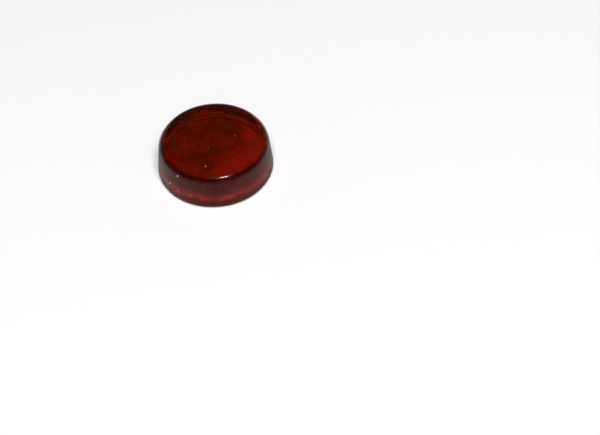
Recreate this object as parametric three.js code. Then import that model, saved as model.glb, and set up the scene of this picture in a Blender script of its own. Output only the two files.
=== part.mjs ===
// A cake of bow rosin: one solid casting of hard resin, turned out of a round mould.
// It is a low truncated cone, narrow end up. The face that lay on the mould's floor is the
// flat top that the bow hair is drawn across. The face that was open to the air is
// underneath: the melt drew in from the mould wall there, which left a small round at the
// foot, and sank as it cooled, which left a shallow dish inside a narrow ring.
// Millimetres, +Z up, origin at the middle of the plane that the ring stands on.

import * as THREE from 'three';

// ---- Driving dimensions ----
const WIDEST_DIAMETER = 45;
const HEIGHT = 15;
const DRAFT_DEGREES = 5.8; // how far the side leans in from upright
const TOP_EDGE_RADIUS = 3.5;
const FOOT_EDGE_RADIUS = 1.5;
const RING_WIDTH = 0.6; // the flat ring that touches the table
const DISH_DEPTH = 0.9;
const DISH_LIP_SLOPE_DEGREES = 45; // how steeply the dish starts inside the ring

// ---- Fineness of the faceted solid ----
const FACETS_ROUND = 96;
const TOP_EDGE_STEPS = 8;
const FOOT_EDGE_STEPS = 5;
const DISH_LIP_STEPS = 4;

// ---- Worked out from the dimensions above ----
const RIGHT_ANGLE = Math.PI / 2;
const draft = THREE.MathUtils.degToRad(DRAFT_DEGREES);
const lipSlope = THREE.MathUtils.degToRad(DISH_LIP_SLOPE_DEGREES);

// The foot round's centre: its outermost point is the widest part of the cake.
const footCentre = new THREE.Vector2(WIDEST_DIAMETER / 2 - FOOT_EDGE_RADIUS, FOOT_EDGE_RADIUS);

// The top round's centre: the two rounds share one straight, leaning tangent, the side.
const roundsApart = HEIGHT - TOP_EDGE_RADIUS - FOOT_EDGE_RADIUS;
const topCentre = new THREE.Vector2(
  footCentre.x - roundsApart * Math.tan(draft) - (TOP_EDGE_RADIUS - FOOT_EDGE_RADIUS) / Math.cos(draft),
  HEIGHT - TOP_EDGE_RADIUS,
);

// The dish's wall is one arc that starts at the lip slope and runs out flat.
const dishLipRadius = footCentre.x - RING_WIDTH;
const dishArcRadius = DISH_DEPTH / (1 - Math.cos(lipSlope));
const dishFloorRadius = dishLipRadius - dishArcRadius * Math.sin(lipSlope);
const dishArcCentre = new THREE.Vector2(dishFloorRadius, DISH_DEPTH - dishArcRadius);

// Points along an arc, both ends included. Angles are measured from outward, upwards.
function arcPoints(centre, radius, startAngle, endAngle, steps) {
  return Array.from({ length: steps + 1 }, (_, i) => {
    const angle = startAngle + ((endAngle - startAngle) * i) / steps;
    return new THREE.Vector2(
      centre.x + radius * Math.cos(angle),
      centre.y + radius * Math.sin(angle),
    );
  });
}

// Half of the cake's upright section, from the axis underneath, out and up to the axis on top.
function cakeOutline() {
  const dishWall = arcPoints(
    dishArcCentre, dishArcRadius, RIGHT_ANGLE, RIGHT_ANGLE - lipSlope, DISH_LIP_STEPS);
  const footRound = arcPoints(footCentre, FOOT_EDGE_RADIUS, -RIGHT_ANGLE, draft, FOOT_EDGE_STEPS);
  const topRound = arcPoints(topCentre, TOP_EDGE_RADIUS, draft, RIGHT_ANGLE, TOP_EDGE_STEPS);
  return [
    new THREE.Vector2(0, DISH_DEPTH),
    ...dishWall,
    ...footRound,
    ...topRound,
    new THREE.Vector2(0, HEIGHT),
  ];
}

function rosinCake() {
  const geometry = new THREE.LatheGeometry(cakeOutline(), FACETS_ROUND);
  geometry.rotateX(RIGHT_ANGLE); // a lathe turns about Y; the cake stands along Z
  const resin = new THREE.MeshStandardMaterial({ color: 0x4b0f08, roughness: 0.18, metalness: 0 });
  const mesh = new THREE.Mesh(geometry, resin);
  mesh.name = 'rosin_cake';
  return mesh;
}

const group = new THREE.Group();
group.add(rosinCake());

export default group;
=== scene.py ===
"""A cake of dark red bow rosin on a pale table: its cast surface, its resin and the studio.

Everything is in metres, in the frame's own axes: +Z up, the origin in the middle of the foot.
"""

import math
import random

import bpy
from mathutils import Matrix, Vector, noise


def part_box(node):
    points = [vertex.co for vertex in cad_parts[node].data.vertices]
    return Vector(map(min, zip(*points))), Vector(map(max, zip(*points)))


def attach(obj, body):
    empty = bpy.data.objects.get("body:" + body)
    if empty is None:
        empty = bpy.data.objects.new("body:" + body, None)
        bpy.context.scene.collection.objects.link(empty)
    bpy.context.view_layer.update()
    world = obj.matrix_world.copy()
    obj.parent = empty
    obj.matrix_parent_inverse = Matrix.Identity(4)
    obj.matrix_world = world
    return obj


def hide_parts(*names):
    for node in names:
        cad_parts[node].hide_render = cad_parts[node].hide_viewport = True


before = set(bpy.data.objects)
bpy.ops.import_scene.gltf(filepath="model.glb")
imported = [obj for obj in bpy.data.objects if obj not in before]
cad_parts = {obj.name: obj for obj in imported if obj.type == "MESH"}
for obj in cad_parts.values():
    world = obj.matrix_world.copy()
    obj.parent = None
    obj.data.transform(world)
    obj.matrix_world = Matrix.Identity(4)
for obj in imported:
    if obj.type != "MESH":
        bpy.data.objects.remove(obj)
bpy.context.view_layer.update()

MM = 0.001

# ---- The cake's outline, worked out from the frame ----
cake_low, cake_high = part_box("rosin_cake")
HEIGHT = cake_high[2] - cake_low[2]
WIDEST_RADIUS = (cake_high[0] - cake_low[0]) / 2
DRAFT = math.radians(5.8)
TOP_EDGE_RADIUS = 3.5 * MM
FOOT_EDGE_RADIUS = 1.5 * MM
RING_WIDTH = 0.6 * MM
DISH_DEPTH = 0.9 * MM
DISH_LIP_SLOPE = math.radians(45)

# ---- How finely the surface is meshed ----
FACES_ROUND = 384
FLAT_STEP = 0.42 * MM
SIDE_STEP = 0.3 * MM
ROUND_STEP = 0.16 * MM

# ---- The cast surface's departures from the perfect outline ----
WARP_DEPTH = 0.09 * MM
WARP_SCALE = 18 * MM
TOP_WAVE_DEPTH = 0.018 * MM
TOP_WAVE_SCALE = 5 * MM
TOP_SINK = 0.07 * MM
SIDE_RIB_DEPTH = 0.012 * MM
SIDE_RIB_COUNT = 150
SIDE_RIB_LENGTH = 6 * MM
POUR_WAVE_DEPTH = 0.10 * MM
POUR_WAVE_SCALE = 4.5 * MM
POUR_WAVE_OCTAVES = (1, 2, 3)  # how fast they fade, how much finer each is, how many
LIP_WANDER = 0.6 * MM
LIP_WANDER_COUNT = 14
LIP_WANDER_STARTS = (0.7, 0.85)  # shares of the widest radius
LIP_WANDER_ENDS = (0.92, 0.935)
CHIP_SEED = 11
FOOT_CHIPS = 16
FOOT_CHIP_RADII = (0.35 * MM, 0.9 * MM)
FOOT_CHIP_DEPTH = 0.45  # share of the chip's radius
FOOT_CHIP_HEIGHTS = (0.1, 0.8)  # shares of the foot round's radius
FOOT_CHIP_INSET = 0.15

# How upright the outward normal is where each kind of relief fades in, or out on the side.
TOP_BLEND = (0.75, 0.98)
UNDER_BLEND = (0.3, 0.9)
SIDE_BLEND = (0.25, 0.7)


def arc_stations(centre, radius, start, end, step):
    """Points along an arc of the outline, as (radius, height, outward normal), ends included."""
    count = max(2, round(abs(end - start) * radius / step))
    stations = []
    for i in range(count + 1):
        angle = start + (end - start) * i / count
        out = (math.cos(angle), math.sin(angle))
        stations.append((centre[0] + radius * out[0], centre[1] + radius * out[1], out))
    return stations


def line_stations(start, end, out, step):
    """Points strictly between two outline points, with the one normal that they share."""
    length = math.hypot(end[0] - start[0], end[1] - start[1])
    count = max(1, round(length / step))
    return [
        (
            start[0] + (end[0] - start[0]) * i / count,
            start[1] + (end[1] - start[1]) * i / count,
            out,
        )
        for i in range(1, count)
    ]


def cake_outline():
    """Half of the upright section, from the axis on top, out, down and in to the axis beneath."""
    right_angle = math.pi / 2
    foot = (WIDEST_RADIUS - FOOT_EDGE_RADIUS, FOOT_EDGE_RADIUS)
    rounds_apart = HEIGHT - TOP_EDGE_RADIUS - FOOT_EDGE_RADIUS
    lean = rounds_apart * math.tan(DRAFT) + (TOP_EDGE_RADIUS - FOOT_EDGE_RADIUS) / math.cos(DRAFT)
    top = (foot[0] - lean, HEIGHT - TOP_EDGE_RADIUS)
    top_round = arc_stations(top, TOP_EDGE_RADIUS, right_angle, DRAFT, ROUND_STEP)
    foot_round = arc_stations(foot, FOOT_EDGE_RADIUS, DRAFT, -right_angle, ROUND_STEP)

    dish_arc_radius = DISH_DEPTH / (1 - math.cos(DISH_LIP_SLOPE))
    lip_radius = foot[0] - RING_WIDTH
    dish_floor_radius = lip_radius - dish_arc_radius * math.sin(DISH_LIP_SLOPE)
    dish_centre = (dish_floor_radius, DISH_DEPTH - dish_arc_radius)
    dish_wall = arc_stations(
        dish_centre, dish_arc_radius, right_angle - DISH_LIP_SLOPE, right_angle, ROUND_STEP
    )
    dish_wall = [(r, z, (-out[0], -out[1])) for r, z, out in dish_wall]

    up, down, side_out = (0, 1), (0, -1), (math.cos(DRAFT), math.sin(DRAFT))
    return (
        line_stations((0, HEIGHT), top_round[0], up, FLAT_STEP)
        + top_round
        + line_stations(top_round[-1], foot_round[0], side_out, SIDE_STEP)
        + foot_round
        + line_stations(foot_round[-1], dish_wall[0], down, ROUND_STEP)
        + dish_wall
        + line_stations(dish_wall[-1], (0, DISH_DEPTH), down, FLAT_STEP)
    )


def smooth_step(low, high, value):
    """0 below low, 1 above high, and an even ramp between."""
    t = min(max((value - low) / (high - low), 0), 1)
    return t * t * (3 - 2 * t)


def around(angle):
    """The level direction at an angle about the axis."""
    return Vector((math.cos(angle), math.sin(angle), 0))


def foot_chips():
    """Small shell-shaped nicks around the foot, as (centre, radius)."""
    draw = random.Random(CHIP_SEED)
    chips = []
    for _ in range(FOOT_CHIPS):
        angle = draw.uniform(0, 2 * math.pi)
        radius = draw.uniform(*FOOT_CHIP_RADII)
        height = draw.uniform(*FOOT_CHIP_HEIGHTS) * FOOT_EDGE_RADIUS
        out = WIDEST_RADIUS - FOOT_CHIP_INSET * FOOT_EDGE_RADIUS
        chips.append((around(angle) * out + Vector((0, 0, height)), radius))
    return chips


CHIPS = foot_chips()


def relief(point, out_z, angle):
    """How far the cast surface stands proud of the perfect outline at a point."""
    on_top = smooth_step(*TOP_BLEND, out_z)
    underneath = smooth_step(*UNDER_BLEND, -out_z)
    on_side = 1 - smooth_step(*SIDE_BLEND, abs(out_z))
    across = math.hypot(point.x, point.y) / WIDEST_RADIUS

    height = WARP_DEPTH * noise.noise(point / WARP_SCALE)
    height += on_top * TOP_WAVE_DEPTH * noise.noise(point / TOP_WAVE_SCALE)
    height -= on_top * TOP_SINK * (1 - across * across)
    rib_place = around(angle) * SIDE_RIB_COUNT / math.tau
    rib_place.z = point.z / SIDE_RIB_LENGTH
    height += on_side * SIDE_RIB_DEPTH * noise.noise(rib_place)
    pour_wave = noise.fractal(point / POUR_WAVE_SCALE, *POUR_WAVE_OCTAVES)
    height += underneath * POUR_WAVE_DEPTH * pour_wave
    for centre, radius in CHIPS:
        apart = (point - centre).length / radius
        if apart < 1:
            height -= FOOT_CHIP_DEPTH * radius * (1 - apart * apart)
    return height


def lip_shift(radius, out_z, angle):
    """The dish's lip is not a true circle: how far the underside is shifted outward there."""
    if out_z >= 0:
        return 0
    share = radius / WIDEST_RADIUS
    near_lip = smooth_step(*LIP_WANDER_STARTS, share) * (1 - smooth_step(*LIP_WANDER_ENDS, share))
    return near_lip * LIP_WANDER * noise.noise(around(angle) * LIP_WANDER_COUNT / math.tau)


def surface_ring(radius, z, out):
    """One ring of vertices around the axis, with the relief worked in."""
    ring = []
    for i in range(FACES_ROUND):
        angle = math.tau * i / FACES_ROUND
        point = around(angle) * (radius + lip_shift(radius, out[1], angle))
        point.z = z
        normal = around(angle) * out[0]
        normal.z = out[1]
        point += normal * relief(point, out[1], angle)
        point.z = max(point.z, 0)  # the relief never reaches below the table
        ring.append(point)
    return ring


def cake_mesh():
    """The cake's surface: rings joined by quads, with a fan of triangles at each end."""
    rings = [surface_ring(*station) for station in cake_outline()]
    vertices = [point for ring in rings for point in ring]
    faces = []
    for k in range(len(rings) - 1):
        for i in range(FACES_ROUND):
            j = (i + 1) % FACES_ROUND
            a, b = k * FACES_ROUND, (k + 1) * FACES_ROUND
            faces.append((a + i, b + i, b + j, a + j))
    top_point, under_point = len(vertices), len(vertices) + 1
    for ring in (rings[0], rings[-1]):
        vertices.append(Vector((0, 0, sum(point.z for point in ring) / FACES_ROUND)))
    last = (len(rings) - 1) * FACES_ROUND
    for i in range(FACES_ROUND):
        j = (i + 1) % FACES_ROUND
        faces.append((top_point, i, j))
        faces.append((under_point, last + j, last + i))
    mesh = bpy.data.meshes.new("cake_surface")
    mesh.from_pydata(vertices, [], faces)
    mesh.update()
    mesh.shade_smooth()
    return mesh


# ---- The resin ----
IOR = 1.53
REFLECTION_TINT = (0.19, 0.15, 0.14)
ABSORPTION_COLOR = (0.96, 0.70, 0.40)
ABSORPTION_DENSITY = 500.0
CLEAR_ON_TOP = 0.97

# How upright the surface's normal is, either way, over which each zone fades in or out.
SIDE_TILTS = (0.12, 0.85)
OFF_FLAT_TILTS = (0.6, 0.99)
UNDER_TILTS = (0.2, 0.75)
UNDER_TOP = (1.2 * MM, 2.4 * MM)

# The noises that vary the resin. A noise stays near 0.5, so ramps stretch a part of its range.
CLOUD = dict(size=6 * MM, detail=2)
FINE_CLOUD = dict(size=1.5 * MM, detail=2)
DRAG_LINES = dict(size=2 * MM, detail=1.5, stretch=(1, 1, 0.2))
NOISE_MIDDLE = (0.35, 0.65)
NOISE_MOST = (0.3, 0.7)
NOISE_WHOLE = (0.2, 0.8)

# The clear resin's tint: paler with distance from a point of the plan, clouded and swirled. The
# paling is painted light, lighter towards the front and right.
RESIN_DARK = (0.185, 0.078, 0.02)
RESIN_LIGHT = (0.42, 0.125, 0.03)
# A lighter tint at the sole's edge: painted light that brightens the arc seen through the top.
SOLE_EDGE_GLOW_COLOR = (1.0, 0.26, 0.07)
PALE_FROM = (-7 * MM, 6 * MM)
PALE_RANGE = (14 * MM, 29 * MM)
CLOUDING = 0.25
SWIRL = 0.2
TURNING_SPACING = 1.3 * MM
TURNING_LENGTH = 9 * MM

# The haze on the side: a painted glow in a band low on the front, painted shade at the foot and
# behind, and the haze's own dark colour above.
# The painted glow's colour, low on the front.
HAZE_GLOW_LOW = (0.22, 0.009, 0.005)
HAZE_HIGH = (0.050, 0.003, 0.002)
HAZE_STARTS = (0.35 * MM, 0.75 * MM)
HAZE_DARKENS = (3.5 * MM, 9 * MM)
HAZE_EDGE_WANDERS = 2.5 * MM
# Painted shade: darker at the foot and on the back half.
FOOT_DARK_BELOW = (3.2 * MM, 5.8 * MM)
FOOT_DARKNESS = 0.92
BACK_DARK = (-6 * MM, 4 * MM)
BACK_DARKNESS = 0.9
SIDE_HAZE_LOW = 0.7
SIDE_HAZE_HIGH = 0.85
SIDE_HAZE_VARIES = 0.2

# Painted glints in the painted glow band: patches of painted light, broken up by upright lines.
GLINT_COLOR = (0.85, 0.05, 0.017)
GLINT_BAND = (3.4 * MM, 5.0 * MM, 6.8 * MM)
GLINT_PATCHES = dict(size=4 * MM, detail=1)
GLINT_PATCH_RANGE = (0.42, 0.74)
GLINT_STRENGTH = 0.58
GLINT_LINES = dict(size=0.7 * MM, detail=1, stretch=(1, 1, 0.15))
GLINT_BETWEEN_LINES = 0.35

# The haze on the sole: thin in the dish, thick on the ring; on the foot round a dark veil that is
# haze and painted shade.
DISH_HAZE = 0.1
DISH_HAZE_VARIES = 0.8
DISH_HAZE_ENDS = (18.8 * MM, 19.8 * MM)
DISH_HAZE_COLOR = (0.50, 0.075, 0.03)
RING_HAZE = 0.9
RING_STARTS = (19.1 * MM, 19.6 * MM)
RING_ENDS = (20.5 * MM, 20.8 * MM)
RING_BREAKS = (0.2, 0.5)
RING_BREAK_LEAVES = 0.3
RING_COLOR = (1.0, 0.20, 0.05)
# The foot round's dark veil: haze and painted shade where the foot meets the table.
FOOT_SHADE_VEIL = 0.85
FOOT_VEIL_STARTS = (0.03 * MM, 0.15 * MM)
FOOT_VEIL_ENDS = (1.2 * MM, 2.0 * MM)
BARE_PATCH = (-3 * MM, 21 * MM)
BARE_PATCH_SIZE = (4.5 * MM, 9 * MM)

# Each kind of dust: the spacing of its cells, a fleck's radius, the share of cells with one.
DUST_COLOR = (1.0, 0.90, 0.85)
LARGE_DUST = (3.6 * MM, 0.22 * MM, 0.32)
FINE_DUST = (1.1 * MM, 0.06 * MM, 0.3)

# Gloss and the finest relief.
SMUDGES = (0.35, 0.7)
SMUDGE_ROUGHNESS = (0.05, 0.09)
SIDE_ROUGHER = 0.42
DISH_ROUGHER = 0.05
SKIN_DEPTH = 0.012 * MM
DRAG_LINES_STAND = 2.0  # times the skin's depth


class Nodes:
    """A material's node tree, with short ways to add nodes and link them."""

    def __init__(self, material):
        self.tree = material.node_tree

    def add(self, kind, **settings):
        node = self.tree.nodes.new(kind)
        for name, value in settings.items():
            setattr(node, name, value)
        return node

    def link(self, source, target):
        self.tree.links.new(source, target)

    def feed(self, socket, value):
        if isinstance(value, bpy.types.NodeSocket):
            self.link(value, socket)
        else:
            socket.default_value = value

    def math(self, operation, a, b=0.0):
        node = self.add("ShaderNodeMath", operation=operation)
        self.feed(node.inputs[0], a)
        self.feed(node.inputs[1], b)
        return node.outputs[0]

    def product(self, first, *others):
        for other in others:
            first = self.math("MULTIPLY", first, other)
        return first

    def total(self, first, *others):
        for other in others:
            first = self.math("ADD", first, other)
        return first

    def rest(self, share):
        """What a share leaves of 1."""
        return self.math("SUBTRACT", 1.0, share)

    def split(self, vector):
        node = self.add("ShaderNodeSeparateXYZ")
        self.link(vector, node.inputs[0])
        return tuple(node.outputs)

    def distance(self, x, y, centre=(0.0, 0.0)):
        """How far a point of the plan is from a centre."""
        apart = [self.math("SUBTRACT", place, middle) for place, middle in zip((x, y), centre)]
        return self.math("SQRT", self.total(*(self.math("POWER", side, 2.0) for side in apart)))

    def ramp(self, value, low, high, at_low=0.0, at_high=1.0):
        """One number below low, another above high, and a smooth step between."""
        node = self.add("ShaderNodeMapRange", interpolation_type="SMOOTHSTEP")
        self.feed(node.inputs["Value"], value)
        ends = {"From Min": low, "From Max": high, "To Min": at_low, "To Max": at_high}
        for name, number in ends.items():
            self.feed(node.inputs[name], number)
        return node.outputs[0]

    def fade(self, value, low, high):
        """1 below low, and a smooth step down to 0 above high."""
        return self.ramp(value, low, high, 1.0, 0.0)

    def noise(self, place, size, detail, stretch=(1, 1, 1)):
        mapping = self.add("ShaderNodeMapping")
        mapping.inputs["Scale"].default_value = stretch
        self.link(place, mapping.inputs["Vector"])
        node = self.add("ShaderNodeTexNoise")
        self.link(mapping.outputs[0], node.inputs["Vector"])
        node.inputs["Scale"].default_value = 1 / size
        node.inputs["Detail"].default_value = detail
        return node.outputs["Fac"]

    def mix_color(self, amount, a, b):
        node = self.add("ShaderNodeMix", data_type="RGBA")
        self.feed(node.inputs["Factor"], amount)
        self.feed(node.inputs["A"], (*a, 1) if isinstance(a, tuple) else a)
        self.feed(node.inputs["B"], (*b, 1) if isinstance(b, tuple) else b)
        return node.outputs["Result"]


class Surface:
    """Where a point of the cake's surface lies, and the noises that vary it there."""

    def __init__(self, nodes):
        self.place = nodes.add("ShaderNodeTexCoord").outputs["Object"]
        self.x, self.y, self.z = nodes.split(self.place)
        self.radius = nodes.distance(self.x, self.y)

        normal = nodes.add("ShaderNodeNewGeometry").outputs["Normal"]
        tilt = nodes.math("ABSOLUTE", nodes.split(normal)[2])
        self.side = nodes.fade(tilt, *SIDE_TILTS)
        self.off_flat = nodes.fade(tilt, *OFF_FLAT_TILTS)
        self.under = nodes.product(nodes.ramp(tilt, *UNDER_TILTS), nodes.fade(self.z, *UNDER_TOP))
        self.in_dish = nodes.product(self.under, nodes.fade(self.radius, *DISH_HAZE_ENDS))

        self.cloud = nodes.noise(self.place, **CLOUD)
        self.fine_cloud = nodes.noise(self.place, **FINE_CLOUD)
        self.drag_lines = nodes.noise(self.place, **DRAG_LINES)

        self.above_sole = nodes.ramp(self.z, *HAZE_STARTS)
        wander = HAZE_EDGE_WANDERS / 2
        self.haze_height = nodes.total(
            self.z, nodes.ramp(self.cloud, *NOISE_WHOLE, -wander, wander)
        )
        self.high = nodes.ramp(self.haze_height, *HAZE_DARKENS)


def dust_flecks(nodes, at, spacing, radius, share):
    """Pale flecks: one small ball of dust in some of the cells that fill space."""
    cells = nodes.add("ShaderNodeTexVoronoi")
    cells.inputs["Scale"].default_value = 1 / spacing
    nodes.link(at.place, cells.inputs["Vector"])
    draw = nodes.add("ShaderNodeSeparateColor")
    nodes.link(cells.outputs["Color"], draw.inputs[0])
    chosen = nodes.math("LESS_THAN", draw.outputs[0], share)
    inside = nodes.math("LESS_THAN", cells.outputs["Distance"], radius / spacing)
    return nodes.product(chosen, inside)


def turning_marks(nodes, at):
    """Faint rings left by the turned mould: noise that runs around the axis."""
    polar = nodes.add("ShaderNodeCombineXYZ")
    nodes.link(nodes.math("DIVIDE", at.radius, TURNING_SPACING), polar.inputs["X"])
    nodes.link(nodes.math("DIVIDE", at.x, TURNING_LENGTH), polar.inputs["Y"])
    nodes.link(nodes.math("DIVIDE", at.y, TURNING_LENGTH), polar.inputs["Z"])
    return nodes.noise(polar.outputs[0], size=1.0, detail=2)


def resin_tint(nodes, at):
    """The clear resin's tint, with painted light: paler towards the front and right, and brighter
    where the foot round and the dish's lip meet the ring.
    """
    # Painted light: the tint pales with distance from PALE_FROM, lighter towards the front and
    # right.
    paleness = nodes.total(
        nodes.ramp(nodes.distance(at.x, at.y, PALE_FROM), *PALE_RANGE),
        nodes.ramp(at.cloud, *NOISE_MOST, -CLOUDING, CLOUDING),
        nodes.ramp(turning_marks(nodes, at), *NOISE_MIDDLE, -SWIRL, SWIRL),
    )
    tint = nodes.mix_color(paleness, RESIN_DARK, RESIN_LIGHT)
    # Painted light: a brighter tint where the foot round and the dish's lip meet the ring, to
    # brighten the arc seen through the top.
    sole_edge_glow = nodes.product(at.off_flat, nodes.rest(at.above_sole))
    return nodes.mix_color(sole_edge_glow, tint, SOLE_EDGE_GLOW_COLOR)


def glints(nodes, at):
    """How much of each point is a painted glint, a streak of painted light in the painted glow
    band.
    """
    low, middle, high = GLINT_BAND
    patches = nodes.noise(at.place, **GLINT_PATCHES)
    lines = nodes.noise(at.place, **GLINT_LINES)
    return nodes.product(
        nodes.ramp(at.z, low, middle),
        nodes.fade(at.z, middle, high),
        nodes.ramp(patches, *GLINT_PATCH_RANGE, 0.0, GLINT_STRENGTH),
        nodes.ramp(lines, *NOISE_MOST, GLINT_BETWEEN_LINES, 1.0),
    )


def side_haze_glow_and_shade(nodes, at):
    """A painted glow low on the front; painted shade at the foot and behind; the haze's dark
    colour above.
    """
    foot_shade = nodes.ramp(at.haze_height, *FOOT_DARK_BELOW, FOOT_DARKNESS, 0.0)
    back_shade = nodes.ramp(at.y, *BACK_DARK, 0.0, BACK_DARKNESS)
    color = nodes.mix_color(at.high, HAZE_GLOW_LOW, HAZE_HIGH)
    color = nodes.mix_color(nodes.math("MAXIMUM", foot_shade, back_shade), color, HAZE_HIGH)
    # Painted glints, none on the back.
    at_glint = nodes.product(glints(nodes, at), nodes.rest(back_shade))
    return nodes.mix_color(at_glint, color, GLINT_COLOR)


def side_haze(nodes, at):
    """How thick the haze is on the side: thinner along some drag lines, thicker higher up."""
    along_lines = nodes.ramp(at.drag_lines, *NOISE_MOST, 1 - SIDE_HAZE_VARIES, 1.0)
    by_height = nodes.ramp(at.high, 0.0, 1.0, SIDE_HAZE_LOW, SIDE_HAZE_HIGH)
    return nodes.product(at.side, along_lines, at.above_sole, by_height)


def dish_haze(nodes, at):
    """Where the dish is hazed: in clouds."""
    clouds = nodes.ramp(at.cloud, *NOISE_MIDDLE, 1 - DISH_HAZE_VARIES, 1.0)
    return nodes.product(at.in_dish, clouds)


def sole_hazes_and_foot_shade(nodes, at):
    """Where the ring is hazed and the foot round carries a dark veil of haze and painted shade:
    all around, but for one bare patch behind.
    """
    off_patch = nodes.ramp(nodes.distance(at.x, at.y, BARE_PATCH), *BARE_PATCH_SIZE)
    ring = nodes.product(
        at.under,
        nodes.ramp(at.radius, *RING_STARTS),
        nodes.fade(at.radius, *RING_ENDS),
        nodes.ramp(at.cloud, *RING_BREAKS, RING_BREAK_LEAVES, 1.0),
        off_patch,
    )
    # The foot round's dark veil: painted shade where the foot meets the table.
    foot_round = nodes.product(
        at.off_flat,
        nodes.ramp(at.z, *FOOT_VEIL_STARTS),
        nodes.fade(at.z, *FOOT_VEIL_ENDS),
        off_patch,
    )
    return ring, foot_round


def fine_relief(nodes, at):
    """A bump for what is too fine for the mesh: an uneven skin, and drag lines on the side."""
    bump = nodes.add("ShaderNodeBump")
    bump.inputs["Strength"].default_value = 1.0
    bump.inputs["Distance"].default_value = SKIN_DEPTH
    on_side = nodes.product(at.side, at.drag_lines, DRAG_LINES_STAND)
    nodes.link(nodes.total(at.fine_cloud, on_side), bump.inputs["Height"])
    return bump.outputs[0]


def surface_color(nodes, at, dish, ring, foot_round, dust):
    """The resin's tint and the side's haze with its painted glow and shade, with the sole's
    hazes, the foot round's painted shade and the dust laid over them.
    """
    hazed_side = nodes.product(at.off_flat, at.above_sole)
    color = nodes.mix_color(hazed_side, resin_tint(nodes, at), side_haze_glow_and_shade(nodes, at))
    for amount, over in (
        (dish, DISH_HAZE_COLOR),
        (ring, RING_COLOR),
        # the foot round's dark veil: painted shade
        (foot_round, HAZE_HIGH),
        (dust, DUST_COLOR),
    ):
        color = nodes.mix_color(amount, color, over)
    return color


def clearness(nodes, at, dish, ring, foot_round, dust):
    """How much light passes through the surface: less where it is hazed, none under dust."""
    veil = nodes.total(
        side_haze(nodes, at),
        nodes.product(dish, DISH_HAZE),
        nodes.product(ring, RING_HAZE),
    )
    veil = nodes.math("MAXIMUM", veil, nodes.product(foot_round, FOOT_SHADE_VEIL))
    return nodes.product(nodes.math("SUBTRACT", CLEAR_ON_TOP, veil), nodes.rest(dust))


def roughness(nodes, at):
    """Glossy but for faint smudges, rougher in the dish and much rougher on the side."""
    return nodes.total(
        nodes.ramp(at.fine_cloud, *SMUDGES, *SMUDGE_ROUGHNESS),
        nodes.product(at.side, SIDE_ROUGHER),
        nodes.product(at.in_dish, DISH_ROUGHER),
    )


def rosin_material():
    """Hard resin: clear and glossy on top, hazed on the side and the sole, with dust all over."""
    material = bpy.data.materials.new("rosin_resin")
    material.use_nodes = True
    nodes = Nodes(material)
    shader = material.node_tree.nodes["Principled BSDF"]
    output = material.node_tree.nodes["Material Output"]

    at = Surface(nodes)
    large, fine = (dust_flecks(nodes, at, *kind) for kind in (LARGE_DUST, FINE_DUST))
    covers = (dish_haze(nodes, at), *sole_hazes_and_foot_shade(nodes, at), nodes.math("MAXIMUM", large, fine))
    nodes.link(surface_color(nodes, at, *covers), shader.inputs["Base Color"])
    nodes.link(clearness(nodes, at, *covers), shader.inputs["Transmission Weight"])
    nodes.link(roughness(nodes, at), shader.inputs["Roughness"])
    nodes.link(fine_relief(nodes, at), shader.inputs["Normal"])

    shader.inputs["IOR"].default_value = IOR
    shader.inputs["Specular Tint"].default_value = (*REFLECTION_TINT, 1)
    absorption = nodes.add("ShaderNodeVolumeAbsorption")
    absorption.inputs["Color"].default_value = (*ABSORPTION_COLOR, 1)
    absorption.inputs["Density"].default_value = ABSORPTION_DENSITY
    nodes.link(absorption.outputs[0], output.inputs["Volume"])
    return material


# ---- The studio ----
FLOOR_HALF_WIDTH = 3.0
FLOOR_COLOR = (0.84, 0.84, 0.835)
FLOOR_ROUGHNESS = 0.9
FLOOR_DROP = 0.02 * MM
WORLD_AT_HORIZON = 0.35
WORLD_OVERHEAD = 0.03
WORLD_FADE = (0.15, 0.62)  # sines of the elevations between which it fades
# The key makes the highlight on the edge; the front softbox lights the table and the resin.
KEY = dict(elevation=58, azimuth=19, distance=0.8, size=0.13, power=18.0)
FRONT = dict(elevation=66, azimuth=10, distance=2.0, size=1.1, power=51.0)
BOUNCES_IN_RESIN = 20  # light turns many times between the faces before it leaves
GLOSSY_BOUNCES = 12


def floor():
    """A plain pale table top, just clear of the ring that the cake stands on."""
    w = FLOOR_HALF_WIDTH
    mesh = bpy.data.meshes.new("table_top")
    corners = [(x, y, -FLOOR_DROP) for x, y in ((-w, -w), (w, -w), (w, w), (-w, w))]
    mesh.from_pydata(corners, [], [(0, 1, 2, 3)])
    material = bpy.data.materials.new("pale_table")
    material.use_nodes = True
    shader = material.node_tree.nodes["Principled BSDF"]
    shader.inputs["Base Color"].default_value = (*FLOOR_COLOR, 1)
    shader.inputs["Roughness"].default_value = FLOOR_ROUGHNESS
    shader.inputs["Specular IOR Level"].default_value = 0.0
    mesh.materials.append(material)
    table = bpy.data.objects.new("table_top", mesh)
    bpy.context.collection.objects.link(table)
    return table


def softbox(name, elevation, azimuth, distance, size, power, mirrored=True, lights_matt=True):
    """A square soft light aimed at the cake. Azimuth 0 is the camera's side, -Y; 90 is +X."""
    lamp = bpy.data.lights.new(name, "AREA")
    lamp.shape = "SQUARE"
    lamp.size = size
    lamp.energy = power
    light = bpy.data.objects.new(name, lamp)
    bpy.context.collection.objects.link(light)
    up = math.radians(elevation)
    towards = around(math.radians(azimuth - 90)) * math.cos(up)
    towards.z = math.sin(up)
    light.location = towards * distance
    light.rotation_euler = towards.to_track_quat("Z", "Y").to_euler()
    light.visible_glossy = mirrored
    light.visible_diffuse = lights_matt
    return light


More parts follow.
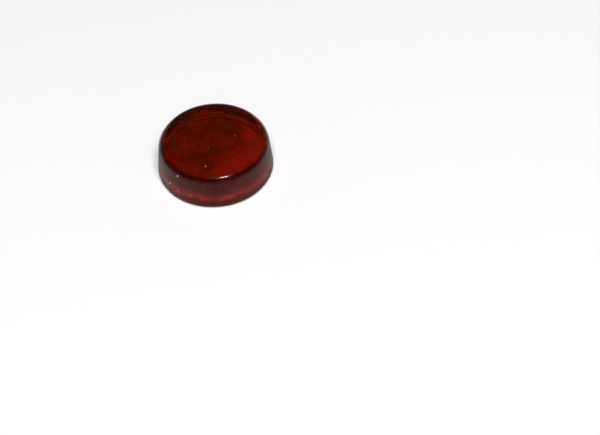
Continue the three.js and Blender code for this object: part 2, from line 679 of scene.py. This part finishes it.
def world_light():
    """A pale room, brighter at the horizon than overhead."""
    world = bpy.data.worlds.new("pale_room")
    bpy.context.scene.world = world
    world.use_nodes = True
    tree = world.node_tree
    background = tree.nodes["Background"]
    direction = tree.nodes.new("ShaderNodeSeparateXYZ")
    tree.links.new(tree.nodes.new("ShaderNodeTexCoord").outputs["Generated"], direction.inputs[0])
    fade = tree.nodes.new("ShaderNodeMapRange")
    fade.interpolation_type = "SMOOTHSTEP"
    fade.inputs["From Min"].default_value = WORLD_FADE[0]
    fade.inputs["From Max"].default_value = WORLD_FADE[1]
    fade.inputs["To Min"].default_value = WORLD_AT_HORIZON
    fade.inputs["To Max"].default_value = WORLD_OVERHEAD
    tree.links.new(direction.outputs["Z"], fade.inputs["Value"])
    tree.links.new(fade.outputs[0], background.inputs["Strength"])
    background.inputs["Color"].default_value = (1, 1, 1, 1)


CAMERA_PLACE = (0.03197, -0.40007, 0.42037)
CAMERA_LOOKS_DOWN = math.radians(48.55)
CAMERA_ROLL = math.radians(-2.30)
CAMERA_LENS_MM = 88.93
CAMERA_SENSOR_MM = 36


def camera():
    """The photograph's viewpoint: a long lens, well above the table, cake left of the middle."""
    lens = bpy.data.cameras.new("camera")
    lens.lens = CAMERA_LENS_MM
    lens.sensor_width = CAMERA_SENSOR_MM
    view = bpy.data.objects.new("camera", lens)
    bpy.context.collection.objects.link(view)
    tilt = Matrix.Rotation(math.pi / 2 - CAMERA_LOOKS_DOWN, 4, "X")
    roll = Matrix.Rotation(CAMERA_ROLL, 4, "Z")
    view.matrix_world = Matrix.Translation(CAMERA_PLACE) @ tilt @ roll
    bpy.context.scene.camera = view


camera()
world_light()
softbox("key_softbox", **KEY, lights_matt=False)
softbox("front_softbox", **FRONT, mirrored=False)

scene = bpy.context.scene
scene.view_settings.view_transform = "Standard"
scene.cycles.max_bounces = BOUNCES_IN_RESIN
scene.cycles.transmission_bounces = BOUNCES_IN_RESIN
scene.cycles.glossy_bounces = GLOSSY_BOUNCES

floor()

cake = bpy.data.objects.new("cast_rosin", cake_mesh())
bpy.context.collection.objects.link(cake)
cake.data.materials.append(rosin_material())
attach(cake, "root")
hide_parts("rosin_cake")
